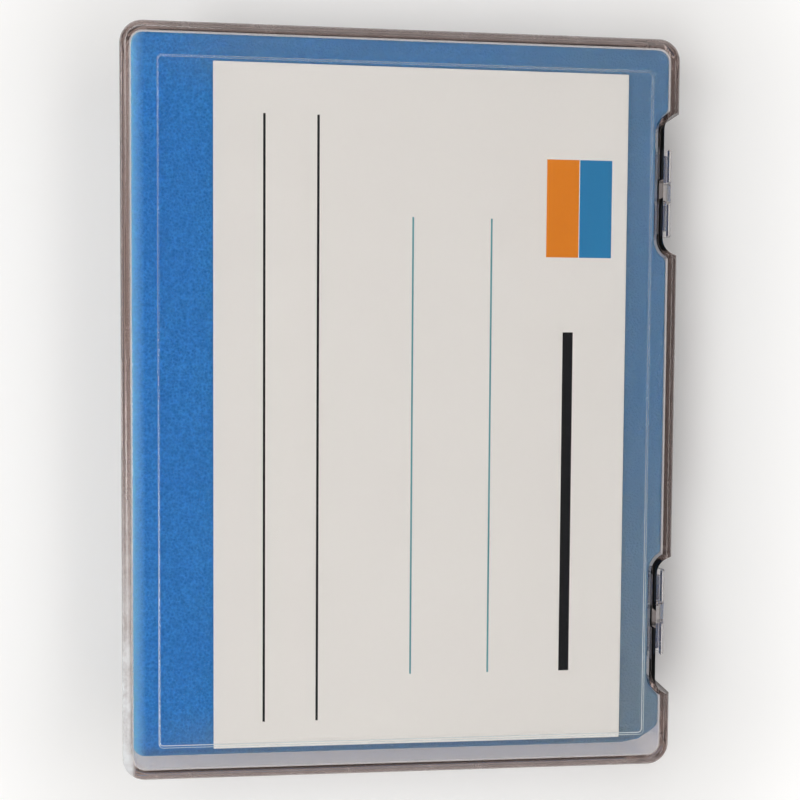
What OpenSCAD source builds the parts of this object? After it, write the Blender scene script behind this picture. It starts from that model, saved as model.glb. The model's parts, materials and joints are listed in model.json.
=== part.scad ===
// Hinged clear case for a pair of glued short-path cuvettes, with its foam pads and label card.
// X runs along the long side, the hinges are at +Y, the thumb tab is at -Y, and Z is up.

/* [Case] */
// Length of the case along X
case_l = 98.8; // [80:0.2:140]
// Width of the case along Y, without the hinge barrels
case_w = 73.9; // [68:0.1:110]
// Height of the base, up to the parting plane
base_h = 13.4; // [11:0.1:30]
// Height of the lid above the parting plane, without the raised panel
lid_h = 8.3; // [6.2:0.1:16]
// Thickness of the side walls
wall = 1.2; // [1.1:0.05:2]
// Thickness of the base's floor
floor_t = 1.3; // [0.8:0.1:2.5]
// Thickness of the lid's top
top_t = 1.2; // [0.8:0.1:2]
// Radius of the upright corners
corner_r = 3; // [2.4:0.1:8]
// Rounding of the lid's top edge
lid_edge_r = 1; // [0.3:0.1:1.2]
// Rounding of the base's bottom edge
base_edge_r = 0.8; // [0.3:0.1:1.2]
// Rounding where the walls meet the floor and the top inside
inner_edge_r = 0.3; // [0.2:0.1:0.8]

/* [Raised panel] */
// Length of the raised panel on the lid
panel_l = 89.8; // [60:0.2:92]
// Width of the raised panel on the lid
panel_w = 65.2; // [40:0.1:66]
// Height of the panel above the lid's top
panel_rise = 0.3; // [0.2:0.05:0.8]
// Radius of the panel's corners
panel_r = 0.6; // [0.6:0.1:4]
// Rounding of the panel's top edge
panel_edge_r = 0.2; // [0.1:0.02:0.2]
// How far the panel's centre lies towards the hinges
panel_shift = 0.5; // [0:0.05:1]

/* [Rim] */
// Clearance between the closed lid's rim and the base's
rim_gap = 0.1; // [0.05:0.05:0.3]
// Height of the base's lip inside the lid's skirt
lip_h = 1; // [0.6:0.1:2]
// Thickness of the lip
lip_t = 0.5; // [0.4:0.05:0.6]
// Clearance between the lip and the lid's skirt
lip_gap = 0.2; // [0.1:0.05:0.3]
// Length of each friction rib on the lip
rib_l = 8; // [4:0.5:12]
// How far a friction rib stands out of the lip
rib_out = 0.15; // [0.05:0.05:0.15]
// Distance between the two friction ribs' centres
rib_pitch = 44; // [30:1:60]

/* [Thumb tab] */
// Length of the thumb tab along X
tab_l = 12.2; // [8:0.2:20]
// How far the tab stands out of the lid's front
tab_out = 0.8; // [0.4:0.1:2]
// Thickness of the tab
tab_t = 1.4; // [1:0.1:2.5]

/* [Hinges] */
// Distance between the two hinges' centres
hinge_pitch = 60; // [40:1:66]
// Length of each hinge recess in the back walls
recess_l = 19; // [16:0.5:24]
// Depth of the hinge recesses
recess_d = 2.3; // [2:0.1:3]
// Thickness of the wall behind a recess
recess_wall = 0.6; // [0.5:0.1:1.2]
// Radius of the hinge barrels
barrel_r = 1.6; // [1.4:0.05:1.65]
// Radius of the hinge pins
pin_r = 1; // [0.7:0.05:1.05]
// Running clearance round a pin
pin_gap = 0.05; // [0.03:0.01:0.1]
// Distance from the back wall's outer face to the pins' axis
pin_out = 0.15; // [0.15:0.05:0.5]
// Length of the lid's knuckle, between the two sockets
knuckle_l = 2.5; // [2:0.25:4]
// Length of each of the base's sockets
socket_l = 4.5; // [3:0.25:5]
// Clearance at each end of the knuckle
knuckle_gap = 0.3; // [0.2:0.05:0.5]
// How far a pin ends short of its socket's outer end
pin_short = 0.8; // [0.3:0.1:1.5]
// Width of the slot through which a pin snaps into its socket
snap_w = 1.7; // [1.3:0.05:1.8]
// Height of the gusset under a socket, and above the knuckle
gusset_h = 4.2; // [3:0.1:5]

/* [Foam] */
// Clearance between the foam and the walls, at least the inner rounding
foam_gap = 0.3; // [0.2:0.05:0.6]
// How far the base's pad stands above the parting plane
foam_proud = 1.6; // [0:0.1:2]
// Clearance between the two pads
pads_apart = 0.3; // [0.3:0.05:0.6]
// How much shorter the lid's pad is than the lid's inside, at +X
lid_foam_short = 1.6; // [0:0.1:6]
// Corner radius of the lid's pad
lid_foam_r = 1.4; // [1.2:0.1:4]
// Radius of the lid pad's hand-cut corner next to +X and the hinges
lid_foam_cut_r = 8; // [6:0.5:10]
// Width of that cut along Y
lid_foam_cut_w = 5.6; // [3:0.1:6]
// Depth of the finger groove in the base's foam
groove_d = 11; // [9:0.5:11]
// Width of the finger groove along Y
groove_w = 18; // [14:0.5:24]
// How far the groove reaches past a slot
groove_past = 9; // [6:0.5:14]

/* [Label card] */
// Length of the card
card_l = 90; // [50:1:90]
// Width of the card
card_w = 55; // [30:1:60]
// Thickness of the card
card_t = 0.3; // [0.2:0.05:0.6]
// How far the card's centre lies towards +X
card_dx = 0.5; // [-2:0.1:2]
// How far the card's centre lies towards the hinges
card_dy = 2.4; // [0:0.1:4]

/* [Cuvettes] */
// Width of a cuvette
cell_w = 12.5; // [8:0.5:14]
// Height of a cuvette, without its cap
cell_h = 45; // [30:1:50]
// Optical path between the two windows
path_l = 3; // [2:0.5:3]
// Thickness of the quartz plates
plate_t = 1.25; // [1:0.05:1.25]
// Depth of the bevel inside a window's mouth edge
bevel_d = 0.85; // [0.4:0.05:0.9]
// Height of that bevel
bevel_h = 2.5; // [1:0.1:4]
// Distance between the two cuvettes' centres
cell_pitch = 36; // [30:1:46]
// How far a cuvette lies below the foam's surface
cell_sink = 0.3; // [0.3:0.1:1]
// Clearance between a cuvette and its slot, along its width
slot_gap = 0.3; // [0.2:0.05:0.8]
// Clearance between a cuvette and its slot, at each end
slot_end_gap = 0.5; // [0.3:0.1:1.5]
// Thickness of the cap's plate
cap_t = 2.5; // [1.5:0.1:4]
// Length of the cap's plug inside the mouth
plug_h = 4; // [2:0.5:6]
// Clearance round the cap's plug
plug_gap = 0.15; // [0.1:0.05:0.3]

/* [Hidden] */
$fn = 64;
tiny = 0.01;
far = 200;

inner_l = case_l - 2 * wall;
inner_w = case_w - 2 * wall;
inner_r = corner_r - wall;
ceiling_z = base_h + lid_h - top_t;
card_z = ceiling_z - card_t;
back_y = case_w / 2;
// The origin is below the middle of the whole outline, thumb tab and hinge barrels included.
case_y = (tab_out - pin_out - barrel_r) / 2;
hinge_y = back_y + pin_out;
// Where the lip stops short of the back corners.
lip_end_y = back_y - corner_r - 2;
lip_inset = wall - lip_t;
skirt_inset = lip_inset - lip_gap;
gusset_root = recess_wall / 2;
pad_gap = max(foam_gap, inner_edge_r);
cell_d = path_l + 2 * plate_t;
chamber_w = cell_w - 2 * plate_t;
slot_w = cell_w + 2 * slot_gap;
slot_l = cell_h + cap_t + 2 * slot_end_gap;
slot_d = cell_d + cell_sink;
foam_top_z = base_h + foam_proud;
lid_foot_z = base_h + rim_gap;
slot_z = foam_top_z - slot_d;
// The closed end of a cuvette, towards the front.
cell_foot_y = slot_end_gap - slot_l / 2;
groove_l = cell_pitch + slot_w + 2 * groove_past;

module rounded_rect(l, w, r) {
    square([l - 2 * r, w], center = true);
    square([l, w - 2 * r], center = true);
    for (sx = [-1, 1], sy = [-1, 1])
        translate([sx * (l / 2 - r), sy * (w / 2 - r)]) circle(r);
}

// A straight slot with round ends.
module stadium(l, w) {
    square([l - w, w], center = true);
    for (end = [-1, 1]) translate([end * (l - w) / 2, 0]) circle(w / 2);
}

// Half of an upright section, from the middle out to w, with its top outer corner rounded.
module edge_profile(w, h, er) {
    square([w, h - er]);
    square([w - er, h]);
    translate([w - er, h - er]) circle(er, $fn = 32);
}

// A block with upright corners of radius r and its top edge rounded by er.
module soft_block(l, w, h, r, er) {
    e = min(er, r / 2);
    for (side = [0, 1]) mirror([side, 0, 0])
        rotate([90, 0, 0]) linear_extrude(w - 2 * r, center = true) edge_profile(l / 2, h, e);
    for (side = [0, 1]) mirror([0, side, 0])
        rotate([90, 0, 90]) linear_extrude(l - 2 * r, center = true) edge_profile(w / 2, h, e);
    for (sx = [-1, 1], sy = [-1, 1])
        translate([sx * (l / 2 - r), sy * (w / 2 - r)]) rotate_extrude() edge_profile(r, h, e);
}

// The two recesses' outline in the back wall, grown by the wall behind them.
module recess_outline(grow) {
    for (side = [-1, 1]) translate([side * hinge_pitch / 2, back_y])
        stadium(recess_l + 2 * grow, 2 * (recess_d + grow));
}

// The outline of a pad that fills the case, clear of the walls and of the walls behind the recesses.
module pad_outline() {
    difference() {
        rounded_rect(inner_l - 2 * pad_gap, inner_w - 2 * pad_gap, inner_r - pad_gap);
        recess_outline(recess_wall + pad_gap);
    }
}

module prism(z0, z1) {
    translate([0, 0, z0]) linear_extrude(z1 - z0) children();
}

// The part of an outline in front of y.
module in_front_of(y) {
    intersection() {
        children();
        translate([-far / 2, y - far]) square(far);
    }
}

// A shape swept along X between x0 and x1, drawn as [y, z].
module along_x(x0, x1) {
    translate([x0, 0, 0]) rotate([90, 0, 90]) linear_extrude(x1 - x0) children();
}

module x_cylinder(r, x0, x1) {
    translate([x0, 0, 0]) rotate([0, 90, 0]) cylinder(r = r, h = x1 - x0);
}

// A gusset from the recess wall out to the barrel, from the rim down.
module gusset(x0, x1, rim = 0) {
    wall_y = -pin_out - recess_d;
    along_x(x0, x1) polygon([[wall_y - gusset_root, -rim], [0, -rim], [barrel_r * sin(45), -barrel_r * cos(45)],
                             [wall_y, -gusset_h], [wall_y - gusset_root, -gusset_h]]);
}

module at_hinges() {
    for (side = [-1, 1]) translate([side * hinge_pitch / 2, hinge_y, base_h]) children();
}

// One snap-in socket for a hinge pin, open at the top.
module socket() {
    x0 = knuckle_l / 2 + knuckle_gap;
    x1 = x0 + socket_l;
    difference() {
        union() {
            x_cylinder(barrel_r, x0, x1);
            gusset(x0, x1);
        }
        x_cylinder(pin_r + pin_gap, x0 - 1, x1 + 1);
        translate([x0 - 1, -snap_w / 2, 0]) cube([socket_l + 2, snap_w, barrel_r + 1]);
    }
}

module lid_knuckle() {
    reach = knuckle_l / 2 + knuckle_gap + socket_l - pin_short;
    x_cylinder(barrel_r, -knuckle_l / 2, knuckle_l / 2);
    mirror([0, 0, 1]) gusset(-knuckle_l / 2, knuckle_l / 2, rim_gap);
    x_cylinder(pin_r, -reach, reach);
}

module case_base() {
    color([0.86, 0.9, 0.92, 0.35]) translate([0, case_y, 0]) {
        difference() {
            translate([0, 0, base_h]) mirror([0, 0, 1])
                soft_block(case_l, case_w, base_h, corner_r, base_edge_r);
            difference() {
                translate([0, 0, base_h + 1]) mirror([0, 0, 1])
                    soft_block(inner_l, inner_w, base_h + 1 - floor_t, inner_r, inner_edge_r);
                prism(-1, base_h + 2) recess_outline(recess_wall);
            }
            prism(-1, base_h + 1) recess_outline(0);
        }
        prism(base_h - tiny, base_h + lip_h) in_front_of(lip_end_y) difference() {
            rounded_rect(case_l - 2 * lip_inset, case_w - 2 * lip_inset, corner_r - lip_inset);
            rounded_rect(inner_l, inner_w, inner_r);
        }
        for (side = [-1, 1]) translate([side * rib_pitch / 2 - rib_l / 2, lip_inset - back_y, base_h])
            translate([0, -rib_out, 0]) cube([rib_l, rib_out + tiny, lip_h * 0.8]);
        at_hinges() for (side = [0, 1]) mirror([side, 0, 0]) socket();
    }
}

module case_lid() {
    color([0.86, 0.9, 0.92, 0.35]) translate([0, case_y, 0]) {
        difference() {
            union() {
                translate([0, 0, lid_foot_z])
                    soft_block(case_l, case_w, base_h + lid_h - lid_foot_z, corner_r, lid_edge_r);
                translate([0, panel_shift, base_h + lid_h - 0.5])
                    soft_block(panel_l, panel_w, panel_rise + 0.5, panel_r, panel_edge_r);
            }
            difference() {
                translate([0, 0, base_h - 1])
                    soft_block(inner_l, inner_w, ceiling_z - base_h + 1, inner_r, inner_edge_r);
                prism(base_h - 2, ceiling_z + 1) recess_outline(recess_wall);
            }
            prism(base_h - 1, base_h + lip_h + lip_gap) in_front_of(lip_end_y + lip_gap)
                rounded_rect(case_l - 2 * skirt_inset, case_w - 2 * skirt_inset, corner_r - skirt_inset);
            prism(base_h - 1, base_h + lid_h + 1) recess_outline(0);
        }
        thumb_tab();
        at_hinges() lid_knuckle();
    }
}

// A low ledge on the lid's front, rounded at both ends.
module thumb_tab() {
    prism(lid_foot_z, lid_foot_z + tab_t) intersection() {
        translate([0, -back_y]) rounded_rect(tab_l, 2 * tab_out, tab_out * 0.9);
        translate([-far / 2, skirt_inset / 2 - back_y - far]) square(far);
    }
}

module lid_foam() {
    l = inner_l - 2 * pad_gap;
    w = inner_w - 2 * pad_gap;
    color("steelblue") translate([0, case_y, 0]) prism(foam_top_z + pads_apart, card_z) difference() {
        translate([-lid_foam_short / 2, 0]) rounded_rect(l - lid_foam_short, w, lid_foam_r);
        recess_outline(recess_wall + pad_gap);
        translate([l / 2 - lid_foam_short - lid_foam_cut_r, w / 2 - lid_foam_cut_w]) difference() {
            square(lid_foam_cut_r);
            circle(lid_foam_cut_r);
        }
    }
}

module base_foam() {
    color("steelblue") translate([0, case_y, 0]) difference() {
        prism(floor_t, foam_top_z) pad_outline();
        for (side = [-1, 1]) translate([side * cell_pitch / 2, 0])
            prism(slot_z, foam_top_z + 1) square([slot_w, slot_l], center = true);
        prism(foam_top_z - groove_d, foam_top_z + 1) stadium(groove_l, groove_w);
    }
}

module label_card() {
    color("whitesmoke") translate([card_dx, case_y + card_dy, card_z])
        linear_extrude(card_t) square([card_l, card_w], center = true);
}

// Places a cuvette in its slot, lying on its back window with its mouth towards the hinges.
module in_slot(side) {
    translate([side * cell_pitch / 2, case_y + cell_foot_y, slot_z]) children();
}

// One window plate, bevelled inside its mouth edge. It lies flat, with its inner face up.
module window_plate() {
    along_x(-cell_w / 2, cell_w / 2)
        polygon([[0, 0], [cell_h, 0], [cell_h, plate_t - bevel_d], [cell_h - bevel_h, plate_t], [0, plate_t]]);
}

module back_window(side) {
    color([0.9, 0.96, 1, 0.4]) in_slot(side) window_plate();
}

module front_window(side) {
    color([0.9, 0.96, 1, 0.4]) in_slot(side) translate([0, 0, cell_d]) mirror([0, 0, 1]) window_plate();
}

module spacer(side, edge) {
    color([0.95, 0.96, 0.97]) in_slot(side)
        translate([edge * (cell_w - plate_t) / 2 - plate_t / 2, 0, plate_t]) cube([plate_t, cell_h, path_l]);
}

module cell_bottom(side) {
    color([0.9, 0.96, 1, 0.4]) in_slot(side)
        translate([-chamber_w / 2, 0, plate_t]) cube([chamber_w, plate_t, path_l]);
}

module cap(side) {
    color("white") in_slot(side) translate([0, cell_h, cell_d / 2]) {
        translate([-cell_w / 2, 0, -cell_d / 2]) cube([cell_w, cap_t, cell_d]);
        translate([plug_gap - chamber_w / 2, -plug_h, plug_gap - path_l / 2])
            cube([chamber_w - 2 * plug_gap, plug_h + tiny, path_l - 2 * plug_gap]);
    }
}

case_base();
case_lid();
lid_foam();
base_foam();
label_card();
front_window(-1);  // cuvette_a_front_window
back_window(-1);  // cuvette_a_back_window
spacer(-1, -1);  // cuvette_a_left_spacer
spacer(-1, 1);  // cuvette_a_right_spacer
cell_bottom(-1);  // cuvette_a_bottom
cap(-1);  // cuvette_a_cap
front_window(1);  // cuvette_b_front_window
back_window(1);  // cuvette_b_back_window
spacer(1, -1);  // cuvette_b_left_spacer
spacer(1, 1);  // cuvette_b_right_spacer
cell_bottom(1);  // cuvette_b_bottom
cap(1);  // cuvette_b_cap
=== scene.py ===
import json

import bmesh
import bpy
import numpy as np
from mathutils import Matrix, Vector

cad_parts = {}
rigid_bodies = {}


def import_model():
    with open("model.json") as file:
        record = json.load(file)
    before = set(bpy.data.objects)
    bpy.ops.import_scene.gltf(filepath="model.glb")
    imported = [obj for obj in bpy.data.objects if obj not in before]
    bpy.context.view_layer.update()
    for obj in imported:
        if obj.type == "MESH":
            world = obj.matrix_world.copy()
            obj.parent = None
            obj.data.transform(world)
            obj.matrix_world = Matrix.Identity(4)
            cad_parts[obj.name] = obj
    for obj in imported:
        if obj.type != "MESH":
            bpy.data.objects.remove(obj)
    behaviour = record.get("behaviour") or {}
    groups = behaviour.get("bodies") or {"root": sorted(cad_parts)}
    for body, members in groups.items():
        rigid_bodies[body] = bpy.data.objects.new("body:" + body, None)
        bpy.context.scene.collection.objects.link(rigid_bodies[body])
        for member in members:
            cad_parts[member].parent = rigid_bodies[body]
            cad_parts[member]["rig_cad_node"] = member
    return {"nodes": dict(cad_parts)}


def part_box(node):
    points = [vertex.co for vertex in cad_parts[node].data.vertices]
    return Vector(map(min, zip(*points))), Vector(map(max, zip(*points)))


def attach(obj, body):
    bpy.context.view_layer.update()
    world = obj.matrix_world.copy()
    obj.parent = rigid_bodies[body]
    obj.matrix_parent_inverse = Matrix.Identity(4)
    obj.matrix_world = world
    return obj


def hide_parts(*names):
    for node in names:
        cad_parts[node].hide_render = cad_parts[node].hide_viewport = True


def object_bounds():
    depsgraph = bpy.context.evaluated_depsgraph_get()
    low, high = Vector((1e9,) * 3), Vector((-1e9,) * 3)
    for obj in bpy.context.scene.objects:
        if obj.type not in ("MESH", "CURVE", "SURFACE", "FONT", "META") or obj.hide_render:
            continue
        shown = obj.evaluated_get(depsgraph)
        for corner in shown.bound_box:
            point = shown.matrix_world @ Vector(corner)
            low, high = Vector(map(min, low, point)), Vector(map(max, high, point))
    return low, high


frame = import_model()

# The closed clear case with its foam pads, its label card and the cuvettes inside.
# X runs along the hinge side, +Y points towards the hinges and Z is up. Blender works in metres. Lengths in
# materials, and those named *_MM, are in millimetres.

MM = 0.001
NODES = frame["nodes"]

# Blender's own start-up objects aren't part of the object.
for thing in list(bpy.data.objects):
    if thing.type in ("CAMERA", "LIGHT", "MESH") and "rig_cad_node" not in thing:
        bpy.data.objects.remove(thing)
cad_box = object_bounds()

# ---------------------------------------------------------------- camera

# Where the camera stands, and which way its right, down and forward point.
CAMERA_MM = (-6.24, -13.57, 153.13)
CAMERA_RIGHT = (-0.00668, 0.99558, 0.09372)
CAMERA_DOWN = (0.99915, 0.00282, 0.04121)
CAMERA_FORWARD = (0.04077, 0.09391, -0.99475)


def make_camera():
    camera = bpy.data.cameras.new("camera")
    camera.lens = 45
    camera.sensor_width = 36
    camera.clip_start = 0.005
    camera.clip_end = 10
    camera.dof.use_dof = False
    holder = bpy.data.objects.new("camera", camera)
    right, down, ahead = Vector(CAMERA_RIGHT), Vector(CAMERA_DOWN), Vector(CAMERA_FORWARD)
    turn = Matrix((right, -down, -ahead)).transposed()
    holder.matrix_world = Matrix.Translation(Vector(CAMERA_MM) * MM) @ turn.to_4x4()
    bpy.context.scene.collection.objects.link(holder)
    bpy.context.scene.camera = holder


# ---------------------------------------------------------------- node helpers


def set_range(node, low, high, to_low, to_high):
    """Fills in a Map Range node."""
    numbers = {"From Min": low, "From Max": high, "To Min": to_low, "To Max": to_high}
    for key, number in numbers.items():
        node.inputs[key].default_value = number


class Graph:
    """A material's node tree, with short calls for the nodes that recur."""

    def __init__(self, name):
        self.material = bpy.data.materials.new(name)
        self.material.use_nodes = True
        self.tree = self.material.node_tree
        self.tree.nodes.clear()
        self.out = self.add("ShaderNodeOutputMaterial")
        self.shader = self.add("ShaderNodeBsdfPrincipled")
        self.surface = self.shader
        self.link(self.shader.outputs[0], self.out.inputs["Surface"])

    def add(self, kind, **values):
        node = self.tree.nodes.new(kind)
        for key, value in values.items():
            setattr(node, key, value)
        return node

    def link(self, source, target):
        self.tree.links.new(source, target)

    def put(self, value, target):
        """Links a socket to target, or sets target to a number or a colour."""
        if isinstance(value, bpy.types.NodeSocket):
            self.link(value, target)
        elif isinstance(value, tuple):
            target.default_value = (*value, 1)
        else:
            target.default_value = value

    def place(self):
        """Object coordinates in millimetres: the CAD's frame, the same for every piece."""
        here = self.add("ShaderNodeTexCoord").outputs["Object"]
        scaled = self.add("ShaderNodeVectorMath", operation="SCALE")
        scaled.inputs["Scale"].default_value = 1 / MM
        self.link(here, scaled.inputs[0])
        return scaled.outputs[0]

    def axes(self, where):
        """The X, Y and Z of a place."""
        node = self.add("ShaderNodeSeparateXYZ")
        self.link(where, node.inputs[0])
        return node.outputs[0], node.outputs[1], node.outputs[2]

    def noise(self, where, per_mm, detail=4.0, rough=0.55):
        node = self.add("ShaderNodeTexNoise")
        node.inputs["Scale"].default_value = per_mm
        node.inputs["Detail"].default_value = detail
        node.inputs["Roughness"].default_value = rough
        self.link(where, node.inputs["Vector"])
        return node.outputs["Fac"]

    def cells(self, where, per_mm):
        node = self.add("ShaderNodeTexVoronoi")
        node.inputs["Scale"].default_value = per_mm
        self.link(where, node.inputs["Vector"])
        return node.outputs["Distance"]

    def fit(self, value, low, high, to_low, to_high):
        """to_low where value is low, to_high where it is high, and in proportion between them."""
        node = self.add("ShaderNodeMapRange")
        set_range(node, low, high, to_low, to_high)
        self.link(value, node.inputs["Value"])
        return node.outputs["Result"]

    def blend(self, share, first, second):
        """first where share is 0, second where it is 1. Each is a colour or a socket."""
        node = self.add("ShaderNodeMix", data_type="RGBA")
        self.link(share, node.inputs[0])
        self.put(first, node.inputs[6])
        self.put(second, node.inputs[7])
        return node.outputs[2]

    def math(self, operation, first, second=0.0):
        node = self.add("ShaderNodeMath", operation=operation)
        self.put(first, node.inputs[0])
        self.put(second, node.inputs[1])
        return node.outputs[0]

    def times(self, first, *others):
        for other in others:
            first = self.math("MULTIPLY", first, other)
        return first

    def size(self, value):
        """value without its sign."""
        return self.math("ABSOLUTE", value)

    def bar(self, where, middle_y, half_width, start_x, end_x):
        """1 on a straight bar along X and 0 off it, in millimetres."""
        x, y, _ = self.axes(where)
        across = self.size(self.math("SUBTRACT", y, middle_y))
        along = self.size(self.math("SUBTRACT", x, (start_x + end_x) / 2))
        inside = self.math("LESS_THAN", along, (end_x - start_x) / 2)
        return self.times(self.math("LESS_THAN", across, half_width), inside)

    def past_outline(self, where, middle_y, half_x, half_y, radius):
        """How far a place lies outside a rounded rectangle's outline, in millimetres. Below 0 inside it."""
        x, y, _ = self.axes(where)
        past = []
        for value, half in ((x, half_x), (self.math("SUBTRACT", y, middle_y), half_y)):
            past.append(self.math("SUBTRACT", self.size(value), half - radius))
        round_off = [self.math("POWER", self.math("MAXIMUM", value, 0.0), 2.0) for value in past]
        outside = self.math("SQRT", self.math("ADD", *round_off))
        inside = self.math("MINIMUM", self.math("MAXIMUM", *past), 0.0)
        return self.math("SUBTRACT", self.math("ADD", outside, inside), radius)

    def bump(self, height, depth_mm, strength=1.0):
        node = self.add("ShaderNodeBump")
        node.inputs["Distance"].default_value = depth_mm * MM
        node.inputs["Strength"].default_value = strength
        self.link(height, node.inputs["Height"])
        self.link(node.outputs[0], self.shader.inputs["Normal"])

    def set(self, **values):
        for key, value in values.items():
            self.shader.inputs[key.replace("_", " ")].default_value = value

    def mix_shaders(self, share, first, second):
        mix = self.add("ShaderNodeMixShader")
        self.link(share, mix.inputs[0])
        self.link(first.outputs[0], mix.inputs[1])
        self.link(second.outputs[0], mix.inputs[2])
        return mix

    def matt_share(self, share, colour):
        """Mixes in a matt finish by share."""
        matt = self.add("ShaderNodeBsdfDiffuse")
        self.put(colour, matt.inputs["Color"])
        self.surface = self.mix_shaders(share, self.surface, matt)

    def light_passes(self, colour):
        """Lamps shine through this clear piece, so that what it holds is lit."""
        path = self.add("ShaderNodeLightPath")
        open_way = self.add("ShaderNodeBsdfTransparent")
        self.put(colour, open_way.inputs["Color"])
        mix = self.mix_shaders(path.outputs["Is Shadow Ray"], self.surface, open_way)
        self.link(mix.outputs[0], self.out.inputs["Surface"])

    def absorb(self, colour, density):
        """Tints the light by how far it goes through the piece. density is per metre."""
        volume = self.add("ShaderNodeVolumeAbsorption")
        self.put(colour, volume.inputs["Color"])
        self.put(density, volume.inputs["Density"])
        self.link(volume.outputs[0], self.out.inputs["Volume"])


# ---------------------------------------------------------------- materials

# What is printed on the card, blank write-in rules and two plain colour fields: the middle in Y, half
# the width, where it starts and ends in X, and the ink.
BLACK_INK, TEAL_INK = (0.008, 0.009, 0.011), (0.1, 0.33, 0.37)
BLUE_INK, ORANGE_INK = (0.03, 0.24, 0.5), (0.8, 0.26, 0.02)
CARD_PRINT = [
    (-19.0, 0.16, -38.0, 42.0, BLACK_INK),
    (-12.0, 0.16, -38.0, 42.0, BLACK_INK),
    (0.5, 0.12, -25.0, 36.0, TEAL_INK),
    (11.0, 0.12, -25.0, 36.0, TEAL_INK),
    (21.5, 0.7, -10.0, 36.0, BLACK_INK),
    (20.6, 2.2, -33.0, -20.0, ORANGE_INK),
    (25.1, 2.2, -33.0, -20.0, BLUE_INK),
]

# The clear plastic, and how much light it lets through where it shades something.
PLASTIC_IOR, PLASTIC_TINT, PLASTIC_TINT_PER_M = 1.585, (0.57, 0.43, 0.38), 90
PLASTIC_LETS_THROUGH = (0.86, 0.84, 0.83)
# The walls' matt share, plain and where a highlight is painted, and its colours.
PLAIN_SHARE, HIGHLIGHT_SHARE = 0.05, 0.95
PLAIN_MATT, HIGHLIGHT_MATT = (0.7, 0.57, 0.53), (0.97, 0.99, 1.0)
# The lid's outer top edge carries a painted highlight: where it starts and is full, under the lid's highest
# point.
LID_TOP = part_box("case_lid")[1][2] / MM
HIGHLIGHT_START, HIGHLIGHT_FULL = LID_TOP - 1.8, LID_TOP - 0.8
# A painted highlight line along the raised panel's edge: its width, its share near X = 0 and further on,
# and its colour.
HIGHLIGHT_LINE_W, HIGHLIGHT_LINE_SHARE, HIGHLIGHT_LINE_MATT = 0.1, (0.33, 1.0), (0.85, 0.97, 1)
# The raised panel's edge radius and corner radius, and the corner radius inside the walls.
PANEL_EDGE, PANEL_CORNER, WALL_CORNER = 0.2, 0.6, 3.0


def clear_plastic(walls, panel=None):
    """Clear polystyrene with a thin matt share on its walls and a streaked painted highlight on the lid's
    outer top edge, most at the front towards +X and at its two ends. walls is the outline that they stand
    outside of. panel is the raised panel's outline, and a painted highlight line runs along its edge,
    stronger towards +X."""
    g = Graph("clear_plastic_look" if panel is None else "clear_lid_look")
    where = g.place()
    x, y, z = g.axes(where)
    smudges = g.noise(where, 0.09, 5, 0.6)
    g.link(g.fit(smudges, 0.45, 0.75, 0.012, 0.05), g.shader.inputs["Roughness"])
    g.set(Base_Color=(0.985, 0.98, 0.985, 1), Transmission_Weight=1.0, IOR=PLASTIC_IOR)
    g.bump(g.noise(where, 0.16, 2, 0.4), 0.02, 0.35)
    g.absorb(PLASTIC_TINT, PLASTIC_TINT_PER_M)
    middle_y, half_x, half_y, _ = walls
    wall = g.fit(g.past_outline(where, *walls), 0.0, 0.4, 0.0, 1.0)
    front = g.fit(y, middle_y - half_y - 0.1, middle_y - half_y + 0.5, 1.0, 0.0)
    front = g.times(front, g.fit(x, 0, 36, 0.0, 1.0))
    ends = g.fit(g.size(x), half_x - 0.1, half_x + 0.5, 0.0, 0.3)
    streaks = g.fit(g.noise(where, 0.4, 4, 0.7), 0.35, 0.65, 0.7, 1.0)
    edge = g.fit(z, HIGHLIGHT_START, HIGHLIGHT_FULL, 0.0, 1.0)
    # A streaked painted highlight on the lid's outer top edge, most at the front towards +X and at the two
    # ends.
    painted_highlight = g.times(edge, streaks, g.math("MAXIMUM", front, ends))
    share = g.times(wall, g.fit(painted_highlight, 0.0, 1.0, PLAIN_SHARE, HIGHLIGHT_SHARE))
    g.matt_share(share, g.blend(painted_highlight, PLAIN_MATT, HIGHLIGHT_MATT))
    if panel:
        # A painted highlight line along the raised panel's edge, stronger towards +X.
        off = g.size(g.math("ADD", g.past_outline(where, *panel), HIGHLIGHT_LINE_W))
        line = g.fit(off, 0.0, HIGHLIGHT_LINE_W, 1.0, 0.0)
        g.matt_share(g.times(line, g.fit(x, 0, 38, *HIGHLIGHT_LINE_SHARE)), HIGHLIGHT_LINE_MATT)
    g.light_passes(PLASTIC_LETS_THROUGH)
    return g.material


def lid_panel():
    """The raised panel's outline in millimetres: middle Y, half its length and width, corner radius."""
    mesh = NODES["case_lid"].data
    top = max(vert.co.z for vert in mesh.vertices)
    flat = [vert.co / MM for vert in mesh.vertices if top - vert.co.z < 0.01 * MM]
    x = [place.x for place in flat]
    y = [place.y for place in flat]
    half_x, half_y = (max(x) - min(x)) / 2 + PANEL_EDGE, (max(y) - min(y)) / 2 + PANEL_EDGE
    return (max(y) + min(y)) / 2, half_x, half_y, PANEL_CORNER


def box_outline(box, corner):
    """A box's outline seen from above, given as lid_panel() gives the panel's."""
    low, high = box
    return (high[1] + low[1]) / 2 / MM, (high[0] - low[0]) / 2 / MM, (high[1] - low[1]) / 2 / MM, corner


# The foam: its pits and its struts, its lighter specks and its darker spots and clouds.
FOAM_PIT, FOAM_STRUT = (0.012, 0.15, 0.43), (0.045, 0.3, 0.78)
FOAM_SPECK, FOAM_SPOT, FOAM_CLOUD = (0.075, 0.37, 0.82), (0.015, 0.15, 0.43), (0.025, 0.19, 0.56)
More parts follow.
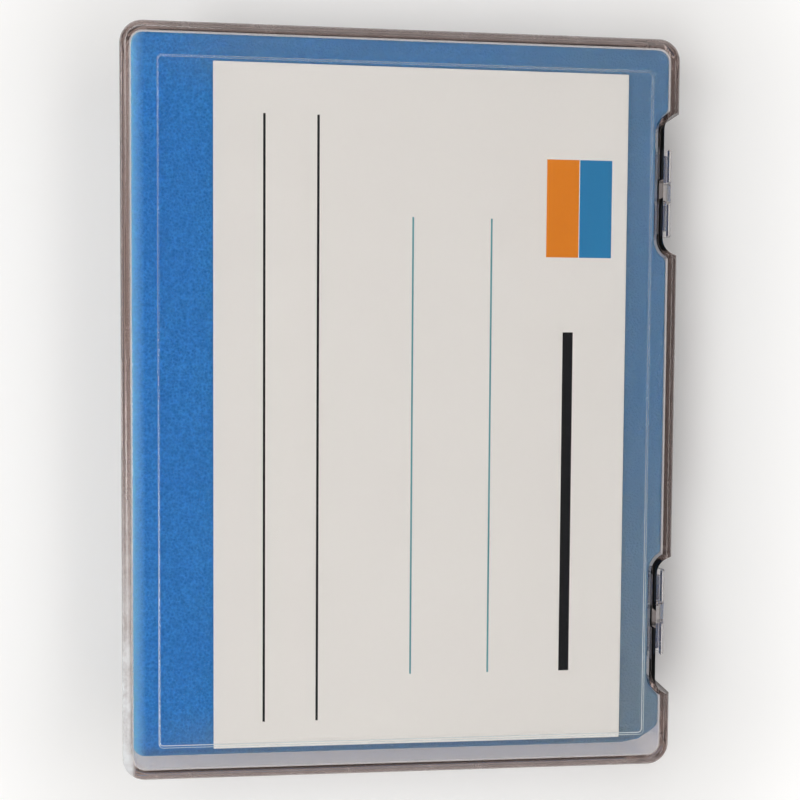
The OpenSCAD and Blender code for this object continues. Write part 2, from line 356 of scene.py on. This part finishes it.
# What it greys to near X = 0 and further on, the painted shade on its far end at +X, and the painted
# highlight on its front rim.
FOAM_GREY, FOAM_GREYER, FOAM_END_SHADE = (0.125, 0.26, 0.44), (0.19, 0.28, 0.365), (0.1, 0.15, 0.22)
FOAM_RIM_HIGHLIGHT, RIM_W = (0.26, 0.6, 0.93), 1.6


def foam_look(name, greying, front, top):
    """Fine open-cell foam. greying, the second argument, is how much its upper side, at the height top,
    turns greyer towards the hinges and the two ends; the end at +X also gets painted shade. The rim at
    front, its lowest Y, carries a painted highlight, stronger towards +X."""
    g = Graph(name)
    where = g.place()
    x, y, z = g.axes(where)
    fine = g.cells(where, 2.6)
    finer = g.cells(where, 5.2)
    colour = g.blend(g.fit(fine, 0.0, 0.75, 0.0, 1.0), FOAM_PIT, FOAM_STRUT)
    colour = g.blend(g.fit(g.noise(where, 3.5, 3, 0.7), 0.38, 0.62, 0.0, 0.45), colour, FOAM_SPECK)
    colour = g.blend(g.fit(g.noise(where, 1.1, 4, 0.65), 0.42, 0.62, 0.0, 0.4), colour, FOAM_SPOT)
    colour = g.blend(g.fit(g.noise(where, 0.05, 4, 0.6), 0.35, 0.65, 0.0, 0.3), colour, FOAM_CLOUD)
    back = g.fit(y, -24, 24, 0.0, 1.0)
    ends = g.times(g.fit(g.size(x), 40, 46, 0.0, 0.7), g.fit(y, -32, -20, 0.25, 1.0))
    upper = g.fit(z, top - 2.0, top - 0.8, 0.0, greying)
    greyed = g.blend(g.fit(x, 0, 38, 0.0, 1.0), FOAM_GREY, FOAM_GREYER)
    colour = g.blend(g.times(g.math("MAXIMUM", back, ends), upper), colour, greyed)
    # Painted shade on the far end at +X, on the upper side.
    colour = g.blend(g.times(g.fit(x, 45, 45.8, 0.0, 0.5), upper), colour, FOAM_END_SHADE)
    # A painted highlight on the front rim, stronger towards +X.
    rim_highlight = g.times(g.fit(y, front, front + RIM_W, 0.85, 0.0), g.fit(x, -10, 38, 0.75, 1.0))
    colour = g.blend(rim_highlight, colour, FOAM_RIM_HIGHLIGHT)
    g.link(colour, g.shader.inputs["Base Color"])
    g.set(Roughness=0.95, Specular_IOR_Level=0.15)
    g.set(Subsurface_Weight=0.8, Subsurface_Scale=3 * MM, Subsurface_Radius=(0.3, 0.6, 1.0))
    g.bump(g.math("ADD", fine, g.times(finer, 0.6)), 0.12, 0.7)
    return g.material


CARD_DARK, CARD_LIGHT, CARD_CLOUD = (0.83, 0.86, 0.83), (0.86, 0.89, 0.865), (0.83, 0.855, 0.83)


def card_look():
    """Uncoated white card with its print."""
    g = Graph("card_look")
    where = g.place()
    fibres = g.noise(where, 6.0, 6, 0.65)
    clouds = g.noise(where, 0.06, 3, 0.5)
    colour = g.blend(fibres, CARD_DARK, CARD_LIGHT)
    colour = g.blend(g.fit(clouds, 0.35, 0.65, 0.0, 0.4), colour, CARD_CLOUD)
    for *bar, ink in CARD_PRINT:
        colour = g.blend(g.bar(where, *bar), colour, ink)
    g.link(colour, g.shader.inputs["Base Color"])
    g.set(Roughness=0.8, Specular_IOR_Level=0.1)
    g.bump(fibres, 0.01, 0.6)
    return g.material


QUARTZ_IOR, QUARTZ_LETS_THROUGH = 1.458, (0.96, 0.97, 0.98)
GROUND_DARK, GROUND_LIGHT = (0.86, 0.89, 0.9), (0.95, 0.97, 0.97)
CAP_DARK, CAP_LIGHT = (0.84, 0.84, 0.81), (0.9, 0.9, 0.88)


def quartz_look():
    """Polished quartz with faint smudges."""
    g = Graph("quartz_look")
    where = g.place()
    g.link(g.fit(g.noise(where, 0.3, 4, 0.6), 0.45, 0.75, 0.0, 0.03), g.shader.inputs["Roughness"])
    g.set(Base_Color=(0.97, 0.985, 0.99, 1), Transmission_Weight=1.0, IOR=QUARTZ_IOR)
    g.light_passes(QUARTZ_LETS_THROUGH)
    return g.material


def frosted_quartz_look():
    """Finely ground quartz, which scatters what it lets through."""
    g = Graph("frosted_quartz_look")
    where = g.place()
    ground = g.noise(where, 9.0, 4, 0.7)
    g.link(g.fit(ground, 0.3, 0.7, 0.4, 0.6), g.shader.inputs["Roughness"])
    g.link(g.blend(ground, GROUND_DARK, GROUND_LIGHT), g.shader.inputs["Base Color"])
    g.set(Transmission_Weight=0.55, IOR=QUARTZ_IOR)
    g.bump(ground, 0.02, 0.6)
    return g.material


def cap_look():
    """White fluoropolymer, slightly waxy."""
    g = Graph("cap_look")
    where = g.place()
    clouds = g.noise(where, 0.6, 4, 0.6)
    g.link(g.blend(clouds, CAP_DARK, CAP_LIGHT), g.shader.inputs["Base Color"])
    g.link(g.fit(clouds, 0.3, 0.7, 0.32, 0.48), g.shader.inputs["Roughness"])
    g.set(Subsurface_Weight=0.25, Subsurface_Scale=MM)
    g.bump(g.noise(where, 4.0, 3, 0.6), 0.01, 0.5)
    return g.material


def give(obj, material):
    """Puts material in every slot of obj."""
    for slot in obj.material_slots:
        slot.material = material
    if not obj.material_slots:
        obj.data.materials.append(material)


# ---------------------------------------------------------------- pieces

# Points this close together, in metres, are one. Faces that meet at an angle under FLAT, in radians, lie in
# one plane, and edges over SHARP are softened.
SAME_POINT, FLAT, SHARP = 1e-6, 0.01, 0.6


def offset_faces(mesh, sides, ends):
    """Moves every upright face out by sides and every level face by ends, in metres."""
    moves = []
    for vert in mesh.verts:
        normals = []
        for face in vert.link_faces:
            if all((face.normal - n).length > FLAT for n in normals):
                normals.append(face.normal.copy())
        steps = [ends if abs(n.z) > 0.5 else sides for n in normals]
        move = np.linalg.lstsq(np.array([n[:] for n in normals]), np.array(steps), rcond=None)[0]
        moves.append(Vector(move))
    for vert, move in zip(mesh.verts, moves):
        vert.co += move


def join_close_points(data):
    """Takes out the empty faces that a bevel leaves where it had no room."""
    close = 0.005 * MM
    mesh = bmesh.new()
    mesh.from_mesh(data)
    bmesh.ops.remove_doubles(mesh, verts=mesh.verts, dist=close)
    bmesh.ops.dissolve_degenerate(mesh, edges=mesh.edges, dist=close)
    mesh.to_mesh(data)
    mesh.free()


def cut_piece(node, name, sides_mm, ends_mm, edge_mm, segments, material):
    """A piece cut to the outline of its CAD solid, with its upright faces moved out by sides_mm, its level
    ones by ends_mm, and its edges softened."""
    mesh = bmesh.new()
    mesh.from_mesh(NODES[node].data)
    bmesh.ops.remove_doubles(mesh, verts=mesh.verts, dist=SAME_POINT)
    bmesh.ops.dissolve_limit(mesh, angle_limit=FLAT, verts=mesh.verts, edges=mesh.edges)
    mesh.normal_update()
    offset_faces(mesh, sides_mm * MM, ends_mm * MM)
    for face in mesh.faces:
        face.smooth = True
    data = bpy.data.meshes.new(name)
    mesh.to_mesh(data)
    mesh.free()
    piece = bpy.data.objects.new(name, data)
    bpy.context.scene.collection.objects.link(piece)
    bpy.context.view_layer.objects.active = piece
    piece.select_set(True)
    bevel = piece.modifiers.new("edges", "BEVEL")
    bevel.width = edge_mm * MM
    bevel.segments = segments
    bevel.limit_method = "ANGLE"
    bevel.angle_limit = SHARP
    bpy.ops.object.modifier_apply(modifier=bevel.name)
    join_close_points(data)
    weighted = piece.modifiers.new("normals", "WEIGHTED_NORMAL")
    weighted.weight = 100
    bpy.ops.object.modifier_apply(modifier=weighted.name)
    piece.select_set(False)
    give(piece, material)
    return piece


make_camera()
# The walls stand just outside the base pad's outline.
inside_walls = box_outline(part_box("base_foam"), WALL_CORNER)
give(NODES["case_base"], clear_plastic(inside_walls))
give(NODES["case_lid"], clear_plastic(inside_walls, lid_panel()))

# The foam swells a little towards the walls and stays a hair clear of what it lies on.
PAD_SWELL_MM, PAD_CLEAR_MM = 0.2, -0.02
# Node, body, name, edge radius in millimetres, and how much its upper side has greyed.
PADS = (
    ("lid_foam", "lid", "lid_pad", 0.9, 1.0),
    ("base_foam", "base", "base_pad", 0.4, 0.2),
)
for node, body, name, edge_mm, greying in PADS:
    low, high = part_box(node)
    look = foam_look("%s_look" % name, greying, low[1] / MM, high[2] / MM)
    pad = cut_piece(node, name, PAD_SWELL_MM, PAD_CLEAR_MM, edge_mm, 5, look)
    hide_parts(node)
    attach(pad, body)

card = cut_piece("label_card", "label_sheet", 0, -0.03, 0.06, 2, card_look())
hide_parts("label_card")
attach(card, "lid")

# The glued quartz plates keep a hair of room between them, as the glue does.
quartz, frosted, cap = quartz_look(), frosted_quartz_look(), cap_look()
PLATES = {
    "front_window": (quartz, "quartz"),
    "back_window": (quartz, "quartz"),
    "bottom": (quartz, "quartz"),
    "left_spacer": (frosted, "frosted_quartz"),
    "right_spacer": (frosted, "frosted_quartz"),
}
for cell in "ab":
    for part, (look, finish) in PLATES.items():
        node = "cuvette_%s_%s" % (cell, part)
        plate = cut_piece(node, "%s_plate" % node, -0.01, -0.01, 0.08, 1, look)
        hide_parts(node)
        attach(plate, "base")
    give(NODES["cuvette_%s_cap" % cell], cap)

# ---------------------------------------------------------------- stage and light

FLOOR_HALF_SIZE, FLOOR_DROP_MM, FLOOR_COLOUR = 1.5, 0.1, (0.96, 0.95, 0.93)
# The floor's own light is the sum of two rises: the distances from the case's outline where each starts and
# ends, and its levels there. The outline's corners are rounded by GLOW_CORNER.
GLOW_NEAR, GLOW_FAR, GLOW_CORNER = (0, 40, 0.04, 0.42), (90, 300, 0.0, 0.58), 5.0


def make_floor():
    """A plain pale floor, a hair under the case. It is whiter the further it is from the case, to what sees
    it and not to what it lights."""
    mesh = bmesh.new()
    bmesh.ops.create_grid(mesh, x_segments=1, y_segments=1, size=FLOOR_HALF_SIZE)
    data = bpy.data.meshes.new("floor")
    mesh.to_mesh(data)
    mesh.free()
    floor = bpy.data.objects.new("floor", data)
    floor.location.z = -FLOOR_DROP_MM * MM
    bpy.context.scene.collection.objects.link(floor)
    g = Graph("floor_look")
    g.set(Base_Color=(*FLOOR_COLOUR, 1), Roughness=0.9, Specular_IOR_Level=0.1)
    path = g.add("ShaderNodeLightPath")
    glow = g.add("ShaderNodeEmission")
    both = g.add("ShaderNodeAddShader")
    seen = g.math("MAXIMUM", path.outputs["Is Camera Ray"], path.outputs["Is Glossy Ray"])
    seen = g.math("MAXIMUM", seen, path.outputs["Is Transmission Ray"])
    away = g.past_outline(g.place(), *box_outline(cad_box, GLOW_CORNER))
    level = g.math("ADD", g.fit(away, *GLOW_NEAR), g.fit(away, *GLOW_FAR))
    g.link(g.times(seen, level), glow.inputs["Strength"])
    g.link(g.shader.outputs[0], both.inputs[0])
    g.link(glow.outputs[0], both.inputs[1])
    g.link(both.outputs[0], g.out.inputs["Surface"])
    give(floor, g.material)


# The level of the studio's walls and of its ceiling, and where one turns into the other: the sine of the
# angle over the horizon.
WALLS, CEILING = 0.2, 0.08
WALLS_END, CEILING_START = 0.7, 0.95
STUDIO_COLOUR, BACKGROUND_COLOUR = (0.98, 0.98, 1), (1, 1, 1)


def make_world():
    """A plain studio with a dimmer ceiling, and a white background for the camera."""
    world = bpy.data.worlds.new("world")
    bpy.context.scene.world = world
    world.use_nodes = True
    tree = world.node_tree
    tree.nodes.clear()

    place = tree.nodes.new("ShaderNodeTexCoord")
    split = tree.nodes.new("ShaderNodeSeparateXYZ")
    level = tree.nodes.new("ShaderNodeMapRange")
    level.interpolation_type = "SMOOTHSTEP"
    set_range(level, WALLS_END, CEILING_START, WALLS, CEILING)
    lit = tree.nodes.new("ShaderNodeBackground")
    lit.inputs["Color"].default_value = (*STUDIO_COLOUR, 1)
    seen = tree.nodes.new("ShaderNodeBackground")
    seen.inputs["Color"].default_value = (*BACKGROUND_COLOUR, 1)
    path = tree.nodes.new("ShaderNodeLightPath")
    mix = tree.nodes.new("ShaderNodeMixShader")
    out = tree.nodes.new("ShaderNodeOutputWorld")
    for source, target in (
        (place.outputs["Generated"], split.inputs[0]),
        (split.outputs[2], level.inputs["Value"]),
        (level.outputs["Result"], lit.inputs["Strength"]),
        (path.outputs["Is Camera Ray"], mix.inputs[0]),
        (lit.outputs[0], mix.inputs[1]),
        (seen.outputs[0], mix.inputs[2]),
        (mix.outputs[0], out.inputs[0]),
    ):
        tree.links.new(source, target)


# Each soft box's place, its width and height in metres, its power in watts and its colour. They stand high,
# so that the lid mirrors none of them to a side view.
LAMPS = {
    "window": ((0.26, -0.46, 0.85), (0.6, 0.25), 3.8, (1, 1, 1)),
    "side": ((-0.38, -0.34, 0.84), (0.5, 0.25), 1.75, (1, 1, 1)),
    "fill": ((0.1, 0.54, 0.88), (0.9, 0.2), 1.35, (1, 0.97, 0.94)),
}
LAMPS_AIM = (0, 0, 0.01)


def soft_box(name, place, size, watts, colour):
    lamp = bpy.data.lights.new(name, "AREA")
    lamp.shape = "RECTANGLE"
    lamp.size, lamp.size_y = size
    lamp.energy = watts
    lamp.color = colour
    holder = bpy.data.objects.new(name, lamp)
    holder.location = place
    ahead = Vector(LAMPS_AIM) - Vector(place)
    holder.rotation_euler = ahead.to_track_quat("-Z", "Y").to_euler()
    bpy.context.scene.collection.objects.link(holder)


make_floor()
make_world()
for name, lamp in LAMPS.items():
    soft_box(name, *lamp)

scene = bpy.context.scene
scene.view_settings.view_transform = "Standard"
# Light goes through up to four clear walls, and turns round inside them.
scene.cycles.max_bounces = 12
scene.cycles.diffuse_bounces = 2
scene.cycles.transmission_bounces = 12
scene.cycles.transparent_max_bounces = 12
